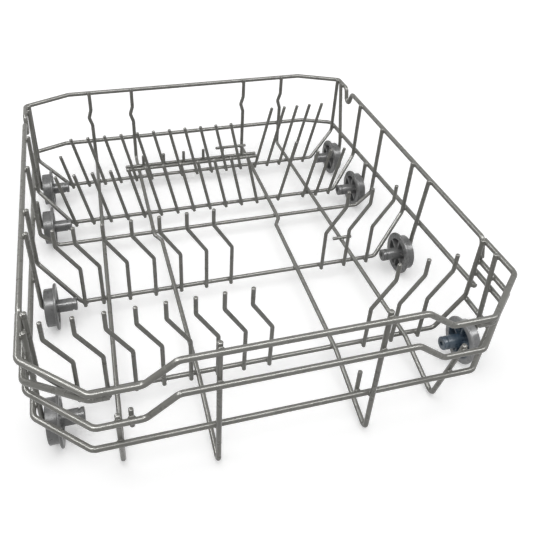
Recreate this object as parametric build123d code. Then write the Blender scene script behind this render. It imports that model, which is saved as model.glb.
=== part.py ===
from build123d import *
import math
import os

# Wire stock: the rim and the front rails are thicker than the rest.
RAIL_D = 6.3
WIRE_D = 5.5
TINE_D = 4.8
WELD = 0.5
RAIL_BEND = 11.0
WIRE_BEND = 9.0
TINE_BEND = 7.0

# Distance between the middles of two wires that are welded where they cross.
RAIL_TO_WIRE = (RAIL_D + WIRE_D) / 2 - WELD
RAIL_TO_RAIL = RAIL_D - WELD
WIRE_TO_WIRE = WIRE_D - WELD
TINE_TO_WIRE = (WIRE_D + TINE_D) / 2 - WELD
STUB_TO_RAIL = (RAIL_D + TINE_D) / 2 - WELD

# The whole basket: outside rails at HALF_X, back rail at BACK_Y, front rail at FRONT_Y.
HALF_X = 251.0
BACK_Y = 286.0
FRONT_Y = -286.0
RIM_Z = 148.0
INNER_X = HALF_X - RAIL_TO_WIRE

# Wheels stand on the ground at z = 0 and turn on the ends of the axle wires.
TREAD_R = 23.3
FLANGE_R = 28.5
AXLE_Z = FLANGE_R
FLANGE_T = 3.0
TREAD_W = 11.5
WHEEL_GAP = 1.0
FLANGE_X = INNER_X - WIRE_D / 2 - WHEEL_GAP - TREAD_W - FLANGE_T
TREAD_X = FLANGE_X + FLANGE_T
TREAD_T = 2.8
EDGE = 0.8
WEB_T = 2.0
WEB_SINK = 4.0
WEB_HOLE_R = 3.0
HUB_R = 8.0
HUB_L = 23.0
HUB_X = FLANGE_X - HUB_L
GROOVE = 1.0
GROOVE_X = HUB_X + 4.0
RIBS = 6
RIB_T = 2.4
RUN = 0.09
BORE_R = WIRE_D / 2 + RUN
PIN_SINK = 6.0
PIN_END_X = HUB_X + PIN_SINK
AXLE_RISE = 26.0

# Floor of the basket: the long wires lie on the cross wires.
CROSS_Z = 20.5
LONG_Z = CROSS_Z + WIRE_TO_WIRE

# Each wheel station from the front, along y: wheel axis, cross wire, top of the arm, top of the axle wire.
# Then how far the cross wire's straight run stops short of the sides, and the height of the arm's knee.
FRONT_STATION = (-213.0, -181.0, -181.0, -206.0, HALF_X - 38.0, 68.0)
MIDDLE_STATION = (-50.0, -40.0, -14.0, -58.0, HALF_X - 52.0, 71.0)
PLATE_FRONT_STATION = (112.0, 127.5, 157.0, 112.0, HALF_X - 47.0, 62.0)
PLATE_REAR_STATION = (210.0, 228.0, 251.0, 237.0, HALF_X - 49.0, 57.0)
PLAIN_CROSS = (79.5, 79.5, HALF_X - 27.0, 42.0)
FRONT_ARM_Y = FRONT_STATION[2]

# Rim, lower ring and front rails.
RIM_CORNER_IN = 63.0
RIM_CORNER_X = HALF_X - RIM_CORNER_IN
RIM_CORNER_Y = BACK_Y - 28.0
RIM_FRONT_Y = FRONT_ARM_Y + 8.0
RIM_END_DROP = 22.0
RIM_END_RUN = 7.5
DIP_BACK_Y = 225.0
DIP_FRONT_Y = 202.0
DIP_DEPTH = 19.0
RING_BACK_Z = 63.0
RING_FRONT_Z = 85.0
RING_CORNER_IN = 48.0
RING_CORNER_X = HALF_X - RING_CORNER_IN
RING_CORNER_Y = BACK_Y - 19.0
RING_FRONT_Y = FRONT_ARM_Y - 3.5

# Front rails: height, place along y, end of the side run, start of the front run, height of the step.
TOP_SIDE = 52.0
TOP_CORNER_IN = 58.0
BOTTOM_BACK = 10.0
BOTTOM_SIDE = 59.0
BOTTOM_CORNER_IN = 53.0
TOP_RAIL = (RIM_Z, FRONT_Y, FRONT_Y + TOP_SIDE, HALF_X - TOP_CORNER_IN, 23.0)
BOTTOM_RAIL = (58.0, FRONT_Y + BOTTOM_BACK, FRONT_Y + BOTTOM_SIDE, HALF_X - BOTTOM_CORNER_IN, 0.0)
MIDDLE_SIDE = 54.0
MIDDLE_Z = 103.0
MIDDLE_STEP = 24.5
RAIL_START_Y = FRONT_ARM_Y + 3.5
STEP_LOW_IN = 103.0
STEP_HIGH_IN = 134.0
STEP_LOW_X = HALF_X - STEP_LOW_IN
STEP_HIGH_X = HALF_X - STEP_HIGH_IN

# Corner braces: along the sides below the top rail, then up under its slanted corners to its front.
BRACE_Z = 120.0
BRACE_END_IN = 74.0
BRACE_END_X = HALF_X - BRACE_END_IN

# Long wires: place across the basket at the back, along the floor and at the foot.
OUTER_BACK_X = 157.0
OUTER_FOOT_X = 172.0
INNER_BACK_X = 92.0
INNER_MID_X = 84.0
INNER_FOOT_X = 80.0
JOG_BACK_Y = 66.0
JOG_FRONT_Y = 52.0
FOOT_Z = WIRE_D / 2 + 0.8
SLOPE_Y = -190.0
KINK_Z = 108.0
KINK_H = 13.0
KINK_X = 4.0

# Cranked tines for cups and bowls: upright, a slope outwards, upright again.
# Each row has its count, its first place across and its pitch; one more tine stands by the middle left wheel.
CRANK_LOW_Z = 78.0
CRANK_HIGH_Z = 117.0
CRANK_OUT = 24.0
CRANK_TIP_Z = 140.0
TINE_DROP = 3.5
FRONT_LEFT_COUNT = 8
FRONT_LEFT_TINES = (2.0, -30.2)
MIDDLE_LEFT_COUNT = 6
MIDDLE_LEFT_TINES = (-8.0, -32.9)
MIDDLE_END_IN = 56.0
MIDDLE_END_X = MIDDLE_END_IN - HALF_X
RIGHT_COUNT = 3
RIGHT_X = 119.0
FRONT_RIGHT_TINES = (RIGHT_X, 35.5)
MIDDLE_RIGHT_IN = 66.0
MIDDLE_RIGHT_TINES = (RIGHT_X, (HALF_X - MIDDLE_RIGHT_IN - RIGHT_X) / (RIGHT_COUNT - 1))

# Straight tines for plates: count, first place across and pitch, tip height and lean of the tip.
PLATE_LEAN = 0.22
PLATE_TIP_Z = 104.0
LONE_TIP_Z = 118.0
REAR_RIGHT_TIP_Z = 125.0
PLATE_LEFT_COUNT = 12
PLATE_LEFT_TINES = (76.0, -24.9)
REAR_RIGHT_COUNT = 5
REAR_RIGHT_TINES = (100.5, 21.4)
SHORT_COUNT = 3
SHORT_TINES = (151.0, 21.5)
SHORT_TIP_Z = 98.0
LONE_X = 110.0
END_TIP_Z = 76.0

# Short wires behind the rear plate row, with stubs and a bar.
COMB_Y = 236.0
COMB_LEFT_X = -112.0
COMB_RIGHT_X = 106.0
STUB_COUNT = 6
STUBS = (-84.0, 33.0)
STUB_H = 24.0
BAR_LEFT_X = 38.0
BAR_RIGHT_X = 88.0

# Small single pieces.
STOP_Y = -3.0
STOP_HALF = 13.0
STUB_UP = 28.0
LOW_STUB_X = 67.0
HIGH_STUB_X = -160.0
HIGH_STUB_UP = 10.0

PARTS = {}


def bent_wire(points, diameter, bend):
    """A round wire along straight runs, with a tangent bend at each corner."""
    corners = [Vector(*p) for p in points]
    edges = []
    start = corners[0]
    for before, corner, after in zip(corners, corners[1:], corners[2:]):
        come = (corner - before).normalized()
        go = (after - corner).normalized()
        turn = math.acos(max(-1.0, min(1.0, come.dot(go))))
        if turn < 1e-4:
            continue
        room = min((corner - before).length, (after - corner).length) * 0.48
        reach = min(bend * math.tan(turn / 2), room)
        radius = reach / math.tan(turn / 2)
        inward = (go - come).normalized()
        middle = corner + inward * (radius / math.cos(turn / 2) - radius)
        edges.append(Line(start, corner - come * reach))
        edges.append(ThreePointArc(corner - come * reach, middle, corner + go * reach))
        start = corner + go * reach
    edges.append(Line(start, corners[-1]))
    first = (corners[1] - corners[0]).normalized()
    section = Plane(origin=corners[0], z_dir=first) * Circle(diameter / 2)
    return sweep(section, path=Wire(edges))


def both_sides(right_half):
    """Adds the mirror image of a list of points, from the left end to the right end."""
    left_half = [(-x, y, z) for x, y, z in right_half]
    return left_half + list(reversed(right_half))


def places(count, run):
    """Places across the basket for a row of tines."""
    first, pitch = run
    return [first + i * pitch for i in range(count)]


def keep(name, solids):
    PARTS[name] = solids if isinstance(solids, list) else [solids]


# Rim wire, from its turned-down front end round the back to the other front end.
dip_run = DIP_DEPTH * 0.35
rim_half = [
    (HALF_X, RIM_FRONT_Y - RIM_END_RUN, RIM_Z - RIM_END_DROP),
    (HALF_X, RIM_FRONT_Y, RIM_Z),
    (HALF_X, DIP_FRONT_Y, RIM_Z),
    (HALF_X, DIP_FRONT_Y + dip_run, RIM_Z - DIP_DEPTH),
    (HALF_X, DIP_BACK_Y - dip_run, RIM_Z - DIP_DEPTH),
    (HALF_X, DIP_BACK_Y, RIM_Z),
    (HALF_X, RIM_CORNER_Y, RIM_Z),
    (RIM_CORNER_X, BACK_Y, RIM_Z),
]
keep("rim_wire", bent_wire(both_sides(rim_half), RAIL_D, RAIL_BEND * 0.6))

# Lower ring, level across the back and rising to the front along the sides.
ring_half = [
    (HALF_X, RING_FRONT_Y, RING_FRONT_Z),
    (HALF_X, RING_CORNER_Y, RING_BACK_Z),
    (RING_CORNER_X, BACK_Y, RING_BACK_Z),
]
keep("lower_ring", bent_wire(both_sides(ring_half), RAIL_D, RAIL_BEND))


# The front leg of an inner long wire ends behind the top rail and passes in front of the bottom rail.
# The front leg of an outer one ends behind the middle rail and passes behind the bottom rail.
bottom_z, bottom_y = BOTTOM_RAIL[0], BOTTOM_RAIL[1]


def foot(top_y, top_z, side):
    """Foot and top of a leg, and its lean, so that it lies on both rails."""
    pass_y = bottom_y + side * RAIL_TO_WIRE
    lean = (top_y - pass_y) / (top_z - bottom_z)
    return pass_y - lean * (bottom_z - FOOT_Z), top_y + lean * RAIL_D, top_z + RAIL_D, lean


inner_rail_y, inner_rail_z = FRONT_Y + RAIL_TO_WIRE, TOP_RAIL[0] + TOP_RAIL[4]
inner_foot_y, inner_top_y, inner_top_z, inner_lean = foot(inner_rail_y, inner_rail_z, -1)

# The middle rail lies on the inner legs at the height of its step.
middle_leg_y = inner_rail_y - inner_lean * (inner_rail_z - MIDDLE_Z - MIDDLE_STEP)
MIDDLE_RAIL = (MIDDLE_Z, middle_leg_y - RAIL_TO_WIRE, FRONT_Y + MIDDLE_SIDE, HALF_X - TOP_CORNER_IN, MIDDLE_STEP)
outer_foot_y, outer_top_y, outer_top_z, outer_lean = foot(MIDDLE_RAIL[1] + RAIL_TO_WIRE, MIDDLE_Z, 1)


def front_rail(rail, start_y):
    """A rail of the front wall: along the side, across the corner, and up a step in the middle."""
    z, y, side_y, corner_x, step = rail
    half = [
        (HALF_X, start_y, z),
        (HALF_X, side_y, z),
        (corner_x, y, z),
    ]
    if step:
        half += [(STEP_LOW_X, y, z), (STEP_HIGH_X, y, z + step)]
    return bent_wire(both_sides(half), RAIL_D, RAIL_BEND)


keep("front_top_rail", front_rail(TOP_RAIL, RAIL_START_Y))
keep("front_middle_rail", front_rail(MIDDLE_RAIL, RAIL_START_Y))
keep("front_bottom_rail", front_rail(BOTTOM_RAIL, RAIL_START_Y))

# A brace ends against the under side of the top rail, just past its corner.
top_z, top_y, top_side_y, top_corner_x, top_step = TOP_RAIL
brace_z = top_z - RAIL_TO_RAIL
brace_right = [
    (HALF_X, RAIL_START_Y, BRACE_Z),
    (HALF_X, top_side_y, BRACE_Z),
    (top_corner_x, top_y, brace_z),
    (BRACE_END_X, top_y, brace_z),
]
brace = bent_wire(brace_right, RAIL_D, RAIL_BEND)
keep("corner_braces", [mirror(brace, about=Plane.YZ), brace])

# Long wires lie inside the rim and the ring at the back.
back_wire_y = BACK_Y - RAIL_TO_WIRE


def back_run(x, side):
    """The upright part of a long wire at the back, with a small kink above the lower ring."""
    return [
        (side * x, back_wire_y, RIM_Z + RAIL_D / 2),
        (side * x, back_wire_y, KINK_Z + KINK_H),
        (side * x - KINK_X, back_wire_y, KINK_Z),
        (side * x, back_wire_y, KINK_Z - KINK_H),
        (side * x, back_wire_y, LONG_Z),
    ]


def outer_x(y):
    """Place of an outer long wire, which spreads a little towards the foot."""
    share = (back_wire_y - y) / (back_wire_y - outer_foot_y)
    return OUTER_BACK_X + share * (OUTER_FOOT_X - OUTER_BACK_X)


for side, hand in ((-1, "left"), (1, "right")):
    outer = back_run(OUTER_BACK_X, side) + [
        (side * outer_x(SLOPE_Y), SLOPE_Y, LONG_Z),
        (side * OUTER_FOOT_X, outer_foot_y, FOOT_Z),
        (side * OUTER_FOOT_X, outer_top_y, outer_top_z),
    ]
    keep(f"long_wire_outer_{hand}", bent_wire(outer, WIRE_D, WIRE_BEND * 0.7))
    inner = back_run(INNER_BACK_X, side) + [
        (side * INNER_BACK_X, JOG_BACK_Y, LONG_Z),
        (side * INNER_MID_X, JOG_FRONT_Y, LONG_Z),
        (side * (INNER_FOOT_X + 1.0), SLOPE_Y, LONG_Z),
        (side * INNER_FOOT_X, inner_foot_y, FOOT_Z),
        (side * INNER_FOOT_X, inner_top_y, inner_top_z),
    ]
    keep(f"long_wire_inner_{hand}", bent_wire(inner, WIRE_D, WIRE_BEND * 0.7))


# Cross wires, each with an arm that climbs past the wheel to the rim.
def cross_wire(cross_y, arm_y, arm_x, knee_z):
    half = [
        (INNER_X, arm_y, RIM_Z + RAIL_D / 2),
        (INNER_X, arm_y, knee_z),
        (arm_x, cross_y, CROSS_Z),
    ]
    return bent_wire(both_sides(half), WIRE_D, WIRE_BEND)


STATIONS = {
    "front": FRONT_STATION,
    "middle": MIDDLE_STATION,
    "plate_front": PLATE_FRONT_STATION,
    "plate_rear": PLATE_REAR_STATION,
}
for name, (axis_y, cross_y, arm_y, axle_y, arm_x, knee_z) in STATIONS.items():
    keep(f"cross_wire_{name}", cross_wire(cross_y, arm_y, arm_x, knee_z))
keep("cross_wire_plain", cross_wire(*PLAIN_CROSS))


# Axle wires: down inside the rim, or inside the ring at the plate-front wheels, then in to the wheel.
def ring_height(y):
    share = (y - RING_FRONT_Y) / (RING_CORNER_Y - RING_FRONT_Y)
    return RING_FRONT_Z + share * (RING_BACK_Z - RING_FRONT_Z)


def axle_wire(axis_y, axle_y, top_z):
    points = [
        (INNER_X, axle_y, top_z),
        (INNER_X, axis_y, AXLE_Z + AXLE_RISE),
        (INNER_X, axis_y, AXLE_Z),
        (PIN_END_X, axis_y, AXLE_Z),
    ]
    return bent_wire(points, WIRE_D, WIRE_BEND * 0.75)


axles = []
for name, (axis_y, cross_y, arm_y, axle_y, arm_x, knee_z) in STATIONS.items():
    top_z = RIM_Z
    if name == "plate_front":
        top_z = ring_height(axle_y)
    wire = axle_wire(axis_y, axle_y, top_z + RAIL_D / 2)
    axles += [mirror(wire, about=Plane.YZ), wire]
keep("axle_wires", axles)


# Wheels: flange inboard, tread outboard, a sunk web with holes, ribs and a grooved hub with a running bore.
def wheel():
    web_x = TREAD_X + TREAD_W - WEB_SINK - WEB_T
    inner_r = TREAD_R - TREAD_T
    profile = [
        (HUB_X, BORE_R),
        (HUB_X, HUB_R - EDGE),
        (HUB_X + EDGE, HUB_R),
        (GROOVE_X, HUB_R),
        (GROOVE_X, HUB_R - GROOVE),
        (GROOVE_X + GROOVE * 2, HUB_R - GROOVE),
        (GROOVE_X + GROOVE * 2, HUB_R),
        (web_x, HUB_R),
        (web_x, inner_r),
        (FLANGE_X, inner_r),
        (FLANGE_X, FLANGE_R - EDGE),
        (FLANGE_X + EDGE, FLANGE_R),
        (TREAD_X - EDGE, FLANGE_R),
        (TREAD_X, FLANGE_R - EDGE),
        (TREAD_X, TREAD_R),
        (TREAD_X + TREAD_W - EDGE, TREAD_R),
        (TREAD_X + TREAD_W, TREAD_R - EDGE),
        (TREAD_X + TREAD_W, inner_r),
        (web_x + WEB_T, inner_r),
        (web_x + WEB_T, BORE_R),
    ]
    face = Plane.XZ * make_face(Polyline(*profile, close=True))
    body = revolve(face, axis=Axis.X)
    rib_l = inner_r - HUB_R + 1.0
    rib_w = web_x - FLANGE_X + 0.5
    for i in range(RIBS):
        turn = Rotation(360.0 / RIBS * i, 0, 0)
        place = Pos(FLANGE_X + rib_w / 2, 0, HUB_R - 0.5 + rib_l / 2)
        body += turn * place * Box(rib_w, RIB_T, rib_l)
    hole_place = Pos(web_x + WEB_T / 2, 0, (HUB_R + inner_r) / 2)
    for i in range(RIBS):
        turn = Rotation(360.0 / RIBS * (i + 0.5), 0, 0)
        body -= turn * hole_place * Rotation(0, 90, 0) * Cylinder(WEB_HOLE_R, WEB_T * 2)
    return body


right_wheel = wheel()
left_wheel = mirror(right_wheel, about=Plane.YZ)
for name, (axis_y, cross_y, arm_y, axle_y, arm_x, knee_z) in STATIONS.items():
    keep(f"wheel_{name}_left", Pos(0, axis_y, AXLE_Z) * left_wheel)
    keep(f"wheel_{name}_right", Pos(0, axis_y, AXLE_Z) * right_wheel)


# Cranked tines, welded to the near side of their cross wire.
def cranked_tine(x, y, side):
    points = [
        (x, y, CROSS_Z - TINE_DROP),
        (x, y, CRANK_LOW_Z),
        (x + side * CRANK_OUT, y, CRANK_HIGH_Z),
        (x + side * CRANK_OUT, y, CRANK_TIP_Z),
    ]
    return bent_wire(points, TINE_D, TINE_BEND)


for name, count, run, station, side in (
    ("front_tines_left", FRONT_LEFT_COUNT, FRONT_LEFT_TINES, FRONT_STATION, -1),
    ("front_tines_right", RIGHT_COUNT, FRONT_RIGHT_TINES, FRONT_STATION, 1),
    ("middle_tines_left", MIDDLE_LEFT_COUNT, MIDDLE_LEFT_TINES, MIDDLE_STATION, -1),
    ("middle_tines_right", RIGHT_COUNT, MIDDLE_RIGHT_TINES, MIDDLE_STATION, 1),
):
    across = places(count, run)
    if name == "middle_tines_left":
        across.append(MIDDLE_END_X)
    keep(name, [cranked_tine(x, station[1] - TINE_TO_WIRE, side) for x in across])


# Straight plate tines, leaning to the nearer side.
def plate_tine(x, y, side, tip_z):
    low_z = CROSS_Z - TINE_DROP
    lean = side * PLATE_LEAN * (tip_z - low_z)
    return bent_wire([(x, y, low_z), (x + lean, y, tip_z)], TINE_D, TINE_BEND)


front_y = PLATE_FRONT_STATION[1] - TINE_TO_WIRE
rear_y = PLATE_REAR_STATION[1] - TINE_TO_WIRE
for row, y in (("front", front_y), ("rear", rear_y)):
    tips = [PLATE_TIP_Z for x in range(PLATE_LEFT_COUNT)]
    if row == "rear":
        tips[-1] = END_TIP_Z
    across = places(PLATE_LEFT_COUNT, PLATE_LEFT_TINES)
    keep(f"plate_tines_{row}_left", [plate_tine(x, y, -1, tip_z) for x, tip_z in zip(across, tips)])
short = [plate_tine(x, front_y, 1, SHORT_TIP_Z) for x in places(SHORT_COUNT, SHORT_TINES)]
keep("plate_tines_front_right", [plate_tine(LONE_X, front_y, 1, LONE_TIP_Z)] + short)
right_places = places(REAR_RIGHT_COUNT, REAR_RIGHT_TINES)
keep("plate_tines_rear_right", [plate_tine(x, rear_y, 1, REAR_RIGHT_TIP_Z) for x in right_places])

# Comb behind the rear plate row: two wires on the inner long wires, stubs between them and a bar on the stubs.
comb_z = LONG_Z + WIRE_TO_WIRE
stub_y = COMB_Y + TINE_TO_WIRE
comb = []
for y in (COMB_Y, stub_y + TINE_TO_WIRE):
    comb.append(bent_wire([(COMB_LEFT_X, y, comb_z), (COMB_RIGHT_X, y, comb_z)], WIRE_D, WIRE_BEND))
keep("comb_wires", comb)
stub_low = comb_z - TINE_DROP
stubs = []
for x in places(STUB_COUNT, STUBS):
    stubs.append(bent_wire([(x, stub_y, stub_low), (x, stub_y, stub_low + STUB_H)], TINE_D, TINE_BEND))
keep("comb_stubs", stubs)
bar_z = stub_low + STUB_H - TINE_D / 2
bar_y = stub_y + TINE_D - WELD
keep("comb_bar", bent_wire([(BAR_LEFT_X, bar_y, bar_z), (BAR_RIGHT_X, bar_y, bar_z)], TINE_D, TINE_BEND))

# Stop bar across the right outer long wire.
stop_z = LONG_Z + TINE_TO_WIRE
stop_x = outer_x(STOP_Y)
stop = [(stop_x - STOP_HALF, STOP_Y, stop_z), (stop_x + STOP_HALF, STOP_Y, stop_z)]
keep("stop_bar", bent_wire(stop, TINE_D, 1))

# Short pins behind the bottom rail and the middle rail.
low_y = bottom_y + STUB_TO_RAIL
high_z, high_y = MIDDLE_RAIL[0], MIDDLE_RAIL[1] + STUB_TO_RAIL
low_pin = [(LOW_STUB_X, low_y, bottom_z - RAIL_D), (LOW_STUB_X, low_y, bottom_z + STUB_UP)]
high_pin = [(HIGH_STUB_X, high_y, high_z - RAIL_D * 2), (HIGH_STUB_X, high_y, high_z + HIGH_STUB_UP)]
keep("rail_stubs", [bent_wire(low_pin, TINE_D, 1), bent_wire(high_pin, TINE_D, 1)])

os.makedirs("parts", exist_ok=True)
for name, solids in PARTS.items():
    group = [s for shape in solids for s in shape.solids()]
    export_step(Compound(children=group) if len(group) > 1 else group[0], f"parts/{name}.step")
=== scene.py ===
import math
import random

import bmesh
import bpy
from mathutils import Matrix, Vector
from mathutils.bvhtree import BVHTree
from mathutils.geometry import intersect_ray_tri


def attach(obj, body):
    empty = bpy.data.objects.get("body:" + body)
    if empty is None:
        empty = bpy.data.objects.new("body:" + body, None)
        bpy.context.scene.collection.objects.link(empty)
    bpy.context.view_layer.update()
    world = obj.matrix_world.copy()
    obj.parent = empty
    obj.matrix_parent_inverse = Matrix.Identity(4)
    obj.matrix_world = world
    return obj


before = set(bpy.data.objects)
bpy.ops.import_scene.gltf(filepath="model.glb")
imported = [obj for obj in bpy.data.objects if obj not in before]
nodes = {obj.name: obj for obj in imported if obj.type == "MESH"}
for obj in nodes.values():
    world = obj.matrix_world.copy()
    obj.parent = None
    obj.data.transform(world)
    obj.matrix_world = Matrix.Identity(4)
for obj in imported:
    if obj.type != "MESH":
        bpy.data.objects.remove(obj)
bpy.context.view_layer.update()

wheel_names = sorted(n for n in nodes if n.startswith("wheel"))
wire_names = sorted(n for n in nodes if not n.startswith("wheel"))
chance = random.Random(7)

# Camera, close to the photograph's place and angle, in metres and degrees.
# Its shift is a share of the picture's side.
CAMERA_PLACE = (-0.1677, -0.6332, 0.5845)
CAMERA_TURN = (55.05, -1.91, -15.01)
CAMERA_SHIFT = (0.0564, -0.1455)
FOCAL_PX = 625.2
PICTURE_PX = 550
SENSOR_MM = 36.0
CLIP_START = 0.01

# Light from the sky on surfaces, and the lamps: name, place, target, size in metres, watts, mirrored.
# A mirrored lamp shows only in reflections, as a streak along the wires. The other one only lights surfaces.
SKY = 0.6
LAMPS = [
    ("key", (-0.3, -0.5, 2.1), (0, 0, 0), (2.4, 2.4), 22.0, False),
    ("strip", (0.7, -0.8, 2.0), (0.7, -0.2, 0), (4.0, 0.6), 150.0, True),
    ("side_strip", (-1.3, 0.3, 2.0), (-0.6, 0.3, 0), (3.2, 0.6), 110.0, True),
]

# Floor: half its side in metres, its shade for bounced light and as seen,
# and its glow, which rises with the distance from the middle.
FLOOR_HALF = 12.0
FLOOR_DIM = 0.36
FLOOR_PALE = 0.97
GLOW_NEAR, GLOW_FAR = 0.3, 1.6
GLOW_LOW, GLOW_HIGH = 0.23, 0.42

# Tones of the coating and the plastic, from dark to light, and their places in the clouding.
TONE_STOPS = (0.25, 0.50, 0.75)
WIRE = [(0.142, 0.140, 0.126), (0.162, 0.160, 0.145), (0.182, 0.180, 0.164)]
GREY = [(0.110, 0.111, 0.111), (0.150, 0.151, 0.150), (0.190, 0.191, 0.189)]
NAVY = [(0.016, 0.032, 0.056), (0.042, 0.068, 0.098), (0.130, 0.165, 0.200)]
PALE = [(0.230, 0.232, 0.236), (0.290, 0.292, 0.296), (0.350, 0.352, 0.354)]

# Wheel: distances from the axle, as shares of the diameter, where the drum's tone starts, where it is full
# and where the wheel ends, and the angle in radians that the turned rings run through up to there.
DRUM_START, DRUM_FULL = 0.36, 0.40
WHEEL_EDGE = 0.5
RING_ANGLE = 190.0
BOX_MIDDLE = (0.5, 0.5, 0.5)
ACROSS_AXLE = (0.0, 1.0, 1.0)

# Range of a noise texture that counts.
NOISE_LOW, NOISE_HIGH = 0.3, 0.7

# Sockets of a colour mix.
MIX_FACTOR, MIX_FIRST, MIX_SECOND, MIX_RESULT = 0, 6, 7, 2

# Wire ends: the bead's width and height and its skirt inside the wire, as shares of the wire's radius,
# and its faces.
END_BULGE = 1.03
END_LENGTH = 0.5
SKIRT_WIDE = 0.97
SKIRT_DEEP = 0.8
BEAD_AROUND, BEAD_UP = 20, 6

# How alike the directions of a flat end's faces are, and which ends of the axle wires lie in a hub:
# those that point along x and stand within this distance, in metres.
FLAT_ENOUGH = 0.9999
ALONG_ENOUGH = 0.9
PIN_END_X = 0.222

# Weld fillets: sizes in metres, how far they vary, the range of their turns in radians, and their faces.
FILLET_WIDE = 0.0038
FILLET_FLAT = 0.0019
FILLET_REACH = 0.006
FILLET_VARY = 0.10
FILLET_TURN = 6.28
FILLET_AROUND, FILLET_UP = 14, 8
NO_LENGTH = 1e-6


# Materials
def new_material(name):
    material = bpy.data.materials.new(name)
    material.use_nodes = True
    tree = material.node_tree
    shader = tree.nodes["Principled BSDF"]
    return material, tree, shader


def noise(tree, vector, scale, detail, roughness=0.5):
    node = tree.nodes.new("ShaderNodeTexNoise")
    node.inputs["Scale"].default_value = scale
    node.inputs["Detail"].default_value = detail
    node.inputs["Roughness"].default_value = roughness
    tree.links.new(vector, node.inputs["Vector"])
    return node.outputs["Fac"]


def spread(tree, value, low, high, to_low, to_high):
    node = tree.nodes.new("ShaderNodeMapRange")
    node.inputs["From Min"].default_value = low
    node.inputs["From Max"].default_value = high
    node.inputs["To Min"].default_value = to_low
    node.inputs["To Max"].default_value = to_high
    tree.links.new(value, node.inputs["Value"])
    return node.outputs["Result"]


def colours(tree, value, tones):
    node = tree.nodes.new("ShaderNodeValToRGB")
    ramp = node.color_ramp
    while len(ramp.elements) < len(tones):
        ramp.elements.new(0.5)
    for element, place, tone in zip(ramp.elements, TONE_STOPS, tones):
        element.position = place
        element.color = (*tone, 1.0)
    tree.links.new(value, node.inputs["Fac"])
    return node.outputs["Color"]


def bump(tree, height, strength, distance, under=None):
    node = tree.nodes.new("ShaderNodeBump")
    node.inputs["Strength"].default_value = strength
    node.inputs["Distance"].default_value = distance
    tree.links.new(height, node.inputs["Height"])
    if under is not None:
        tree.links.new(under, node.inputs["Normal"])
    return node.outputs["Normal"]


def vector_step(tree, vector, operation, other=None):
    node = tree.nodes.new("ShaderNodeVectorMath")
    node.operation = operation
    tree.links.new(vector, node.inputs[0])
    if other is not None:
        node.inputs[1].default_value = other
    return node.outputs["Value" if operation == "LENGTH" else "Vector"]


def coated_wire():
    """Grey polymer dip coating: slight clouding, a fine orange-peel skin and a satin gloss that varies."""
    material, tree, shader = new_material("coated_wire_skin")
    place = tree.nodes.new("ShaderNodeTexCoord").outputs["Object"]
    cloud = noise(tree, place, scale=40.0, detail=2.0)
    tree.links.new(colours(tree, cloud, WIRE), shader.inputs["Base Color"])
    patches = noise(tree, place, scale=90.0, detail=2.0)
    gloss = spread(tree, patches, NOISE_LOW, NOISE_HIGH, to_low=0.25, to_high=0.33)
    tree.links.new(gloss, shader.inputs["Roughness"])
    skin = noise(tree, place, scale=700.0, detail=2.0)
    peel = bump(tree, skin, strength=0.03, distance=0.0003)
    drips = noise(tree, place, scale=90.0, detail=1.0)
    runs = bump(tree, drips, strength=0.05, distance=0.0008, under=peel)
    tree.links.new(runs, shader.inputs["Normal"])
    shader.inputs["Metallic"].default_value = 0.1
    shader.inputs["Specular IOR Level"].default_value = 0.5
    return material


def wheel_plastic(name, tones, drum_tones):
    """Moulded plastic with clouding, a fine grain and faint turned rings. The drum has its own tones."""
    material, tree, shader = new_material(name)
    coords = tree.nodes.new("ShaderNodeTexCoord")
    place = coords.outputs["Object"]
    cloud = noise(tree, place, scale=70.0, detail=4.0, roughness=0.6)
    inside = colours(tree, cloud, tones)
    drum = colours(tree, cloud, drum_tones)
    patches = noise(tree, place, scale=260.0, detail=3.0)
    gloss = spread(tree, patches, NOISE_LOW, NOISE_HIGH, to_low=0.24, to_high=0.38)
    tree.links.new(gloss, shader.inputs["Roughness"])
    centred = vector_step(tree, coords.outputs["Generated"], "SUBTRACT", BOX_MIDDLE)
    across = vector_step(tree, centred, "MULTIPLY", ACROSS_AXLE)
    from_axle = vector_step(tree, across, "LENGTH")
    shade = tree.nodes.new("ShaderNodeMix")
    shade.data_type = "RGBA"
    on_drum = spread(tree, from_axle, DRUM_START, DRUM_FULL, 0.0, 1.0)
    tree.links.new(on_drum, shade.inputs[MIX_FACTOR])
    tree.links.new(inside, shade.inputs[MIX_FIRST])
    tree.links.new(drum, shade.inputs[MIX_SECOND])
    tree.links.new(shade.outputs[MIX_RESULT], shader.inputs["Base Color"])
    rings = tree.nodes.new("ShaderNodeMath")
    rings.operation = "SINE"
    tree.links.new(spread(tree, from_axle, 0.0, WHEEL_EDGE, 0.0, RING_ANGLE), rings.inputs[0])
    turned = bump(tree, rings.outputs["Value"], strength=0.10, distance=0.0003)
    specks = noise(tree, place, scale=1100.0, detail=2.0)
    grain = bump(tree, specks, strength=0.18, distance=0.0003, under=turned)
    tree.links.new(grain, shader.inputs["Normal"])
    shader.inputs["Specular IOR Level"].default_value = 0.5
    return material


def paint(piece, material):
    piece.data.materials.clear()
    piece.data.materials.append(material)


wire_skin = coated_wire()
wheel_skin = wheel_plastic("wheel_plastic_skin", GREY, GREY)
blue_skin = wheel_plastic("wheel_plastic_blue", NAVY, PALE)
for name in wire_names:
    paint(nodes[name], wire_skin)
for name in wheel_names:
    paint(nodes[name], blue_skin if name == "wheel_front_right" else wheel_skin)


# Meshes
def stand_on(middle, direction):
    """Frame at a place, with its z along a direction."""
    return Matrix.Translation(middle) @ direction.to_track_quat("Z", "Y").to_matrix().to_4x4()


def add_ring(work, stand, reach, height, around):
    ring = []
    for i in range(around):
        a = 2 * math.pi * i / around
        ring.append(work.verts.new(stand @ Vector((reach * math.cos(a), reach * math.sin(a), height))))
    return ring


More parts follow.
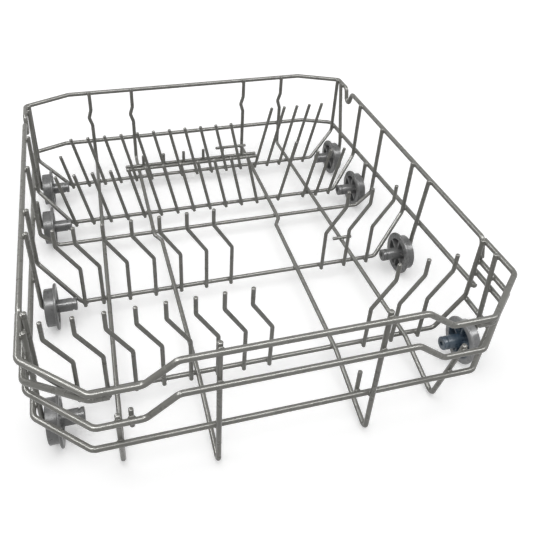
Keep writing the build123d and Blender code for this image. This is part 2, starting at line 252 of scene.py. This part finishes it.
def finish_piece(name, work, body, material):
    mesh = bpy.data.meshes.new(name)
    work.to_mesh(mesh)
    work.free()
    for polygon in mesh.polygons:
        polygon.use_smooth = True
    piece = bpy.data.objects.new(name, mesh)
    bpy.context.scene.collection.objects.link(piece)
    paint(piece, material)
    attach(piece, body)


# Wire ends, each with a rounded bead of coating
def flat_ends(mesh):
    """Middle, outward direction and radius of each flat round end in a mesh of wires."""
    work = bmesh.new()
    work.from_mesh(mesh)
    seen = set()
    found = []
    for face in work.faces:
        if face in seen:
            continue
        seen.add(face)
        waiting = [face]
        island = []
        while waiting:
            one = waiting.pop()
            island.append(one)
            for edge in one.edges:
                for other in edge.link_faces:
                    if other not in seen:
                        seen.add(other)
                        waiting.append(other)
        direction = island[0].normal.copy()
        if all(one.normal.dot(direction) > FLAT_ENOUGH for one in island):
            corners = {v.index: v.co.copy() for one in island for v in one.verts}
            middle = sum(corners.values(), Vector()) / len(corners)
            radius = max((c - middle).length for c in corners.values())
            found.append((middle, direction, radius))
    work.free()
    return found


def add_bead(work, middle, direction, radius):
    """A dome that closes one wire end, a little wider than the wire."""
    stand = stand_on(middle, direction)
    wide = radius * END_BULGE
    rings = []
    for j in range(BEAD_UP):
        angle = math.pi / 2 * j / BEAD_UP
        height = radius * END_LENGTH * math.sin(angle)
        rings.append(add_ring(work, stand, wide * math.cos(angle), height, BEAD_AROUND))
    skirt = add_ring(work, stand, radius * SKIRT_WIDE, -radius * SKIRT_DEEP, BEAD_AROUND)
    rings.insert(0, skirt)
    tip = work.verts.new(stand @ Vector((0, 0, radius * END_LENGTH)))
    foot = work.verts.new(stand @ Vector((0, 0, -radius * SKIRT_DEEP)))
    for i in range(BEAD_AROUND):
        k = (i + 1) % BEAD_AROUND
        for low, high in zip(rings, rings[1:]):
            work.faces.new((low[i], low[k], high[k], high[i]))
        work.faces.new((rings[-1][i], rings[-1][k], tip))
        work.faces.new((skirt[k], skirt[i], foot))


def ends_in_hub(name, middle, direction):
    return name == "axle_wires" and abs(middle.x) < PIN_END_X and abs(direction.x) > ALONG_ENOUGH


beads = bmesh.new()
for name in wire_names:
    for middle, direction, radius in flat_ends(nodes[name].data):
        if not ends_in_hub(name, middle, direction):
            add_bead(beads, middle, direction, radius)
finish_piece("wire_end_beads", beads, "basket", wire_skin)


# Weld fillets, one wherever two wires meet
def wire_tree(mesh):
    corners = [v.co.copy() for v in mesh.vertices]
    faces = [tuple(p.vertices) for p in mesh.polygons]
    return BVHTree.FromPolygons(corners, faces)


def crossings(first, second):
    """Points where the edges of one triangle pass through the other."""
    found = []
    for edges, face in ((first, second), (second, first)):
        for i in range(3):
            start, run = edges[i], edges[(i + 1) % 3] - edges[i]
            hit = intersect_ray_tri(*face, run, start, True)
            if hit is not None and 0 <= (hit - start).dot(run) <= run.length_squared:
                found.append(hit)
    return found


def meetings(first, second, first_tree, second_tree):
    """Places where two wires meet, each with the direction from one wire to the other."""
    spots = []
    for a, b in first_tree.overlap(second_tree):
        pa, pb = first.polygons[a], second.polygons[b]
        corners_a = [first.vertices[v].co for v in pa.vertices]
        corners_b = [second.vertices[v].co for v in pb.vertices]
        for place in crossings(corners_a, corners_b):
            spots.append((place, pa.normal - pb.normal))
    groups = []
    for place, normal in spots:
        near = [g for g in groups if any((place - p).length < FILLET_REACH for p, _ in g)]
        joined = [(place, normal)]
        for g in near:
            joined += g
            groups.remove(g)
        groups.append(joined)
    found = []
    for g in groups:
        middle = sum((p for p, _ in g), Vector()) / len(g)
        direction = sum((n for _, n in g), Vector())
        if direction.length > NO_LENGTH:
            found.append((middle, direction.normalized()))
    return found


def add_fillet(work, middle, direction):
    """A squeezed-out weld nugget, wide across the joint and flat along it."""
    size = 1.0 + chance.uniform(-FILLET_VARY, FILLET_VARY)
    stand = stand_on(middle, direction) @ Matrix.Rotation(chance.uniform(0, FILLET_TURN), 4, "Z")
    wide, flat = FILLET_WIDE * size, FILLET_FLAT * size
    bottom = work.verts.new(stand @ Vector((0, 0, -flat)))
    top = work.verts.new(stand @ Vector((0, 0, flat)))
    rings = []
    for j in range(1, FILLET_UP):
        angle = math.pi * j / FILLET_UP - math.pi / 2
        rings.append(add_ring(work, stand, wide * math.cos(angle), flat * math.sin(angle), FILLET_AROUND))
    for i in range(FILLET_AROUND):
        k = (i + 1) % FILLET_AROUND
        work.faces.new((bottom, rings[0][k], rings[0][i]))
        for low, high in zip(rings, rings[1:]):
            work.faces.new((low[i], low[k], high[k], high[i]))
        work.faces.new((rings[-1][i], rings[-1][k], top))


meshes = {name: nodes[name].data for name in wire_names}
trees = {name: wire_tree(meshes[name]) for name in wire_names}
fillets = bmesh.new()
for i, first in enumerate(wire_names):
    for second in wire_names[i + 1:]:
        for middle, direction in meetings(meshes[first], meshes[second], trees[first], trees[second]):
            add_fillet(fillets, middle, direction)
finish_piece("weld_fillets", fillets, "basket", wire_skin)


# Floor, light and camera
def seen_directly(tree):
    """One for rays from the camera, in reflections and through clear pieces, else zero."""
    path = tree.nodes.new("ShaderNodeLightPath")
    total = path.outputs["Is Camera Ray"]
    for kind in ("Is Glossy Ray", "Is Transmission Ray"):
        either = tree.nodes.new("ShaderNodeMath")
        either.operation = "MAXIMUM"
        tree.links.new(total, either.inputs[0])
        tree.links.new(path.outputs[kind], either.inputs[1])
        total = either.outputs["Value"]
    return total


def paper(tree, shade):
    node = tree.nodes.new("ShaderNodeBsdfDiffuse")
    node.inputs["Color"].default_value = (shade, shade, shade, 1)
    return node.outputs["BSDF"]


def add_floor():
    """Pale floor that keeps the shadows, and that throws less light back at the object than it shows."""
    mesh = bpy.data.meshes.new("floor")
    corners = [(x * FLOOR_HALF, y * FLOOR_HALF, 0) for x, y in ((-1, -1), (1, -1), (1, 1), (-1, 1))]
    mesh.from_pydata(corners, [], [(0, 1, 2, 3)])
    floor = bpy.data.objects.new("floor", mesh)
    bpy.context.scene.collection.objects.link(floor)
    material = bpy.data.materials.new("floor_paper")
    material.use_nodes = True
    tree = material.node_tree
    tree.nodes.clear()
    output = tree.nodes.new("ShaderNodeOutputMaterial")
    mix = tree.nodes.new("ShaderNodeMixShader")
    glow = tree.nodes.new("ShaderNodeEmission")
    away = vector_step(tree, tree.nodes.new("ShaderNodeTexCoord").outputs["Object"], "LENGTH")
    strength = spread(tree, away, GLOW_NEAR, GLOW_FAR, GLOW_LOW, GLOW_HIGH)
    tree.links.new(strength, glow.inputs["Strength"])
    white = tree.nodes.new("ShaderNodeAddShader")
    tree.links.new(paper(tree, FLOOR_PALE), white.inputs[0])
    tree.links.new(glow.outputs["Emission"], white.inputs[1])
    tree.links.new(seen_directly(tree), mix.inputs[0])
    tree.links.new(paper(tree, FLOOR_DIM), mix.inputs[1])
    tree.links.new(white.outputs["Shader"], mix.inputs[2])
    tree.links.new(mix.outputs["Shader"], output.inputs["Surface"])
    mesh.materials.append(material)


def add_world():
    world = bpy.data.worlds.new("studio")
    bpy.context.scene.world = world
    world.use_nodes = True
    tree = world.node_tree
    background = tree.nodes["Background"]
    background.inputs["Color"].default_value = (1, 1, 1, 1)
    level = spread(tree, seen_directly(tree), 0.0, 1.0, SKY, 1.0)
    tree.links.new(level, background.inputs["Strength"])


def add_lamp(name, place, target, size, power, mirrored):
    data = bpy.data.lights.new(name, "AREA")
    data.shape = "RECTANGLE"
    data.size, data.size_y = size
    data.energy = power
    lamp = bpy.data.objects.new(name, data)
    lamp.location = place
    lamp.rotation_euler = (Vector(target) - Vector(place)).to_track_quat("-Z", "Y").to_euler()
    lamp.visible_glossy = mirrored
    lamp.visible_diffuse = not mirrored
    bpy.context.scene.collection.objects.link(lamp)


def add_camera():
    data = bpy.data.cameras.new("photo_camera")
    data.sensor_width = SENSOR_MM
    data.lens = FOCAL_PX * SENSOR_MM / PICTURE_PX
    data.shift_x, data.shift_y = CAMERA_SHIFT
    data.clip_start = CLIP_START
    camera = bpy.data.objects.new("photo_camera", data)
    camera.location = CAMERA_PLACE
    camera.rotation_euler = [math.radians(a) for a in CAMERA_TURN]
    bpy.context.scene.collection.objects.link(camera)
    bpy.context.scene.camera = camera


add_floor()
add_world()
for lamp in LAMPS:
    add_lamp(*lamp)
add_camera()
bpy.context.scene.view_settings.view_transform = "Standard"
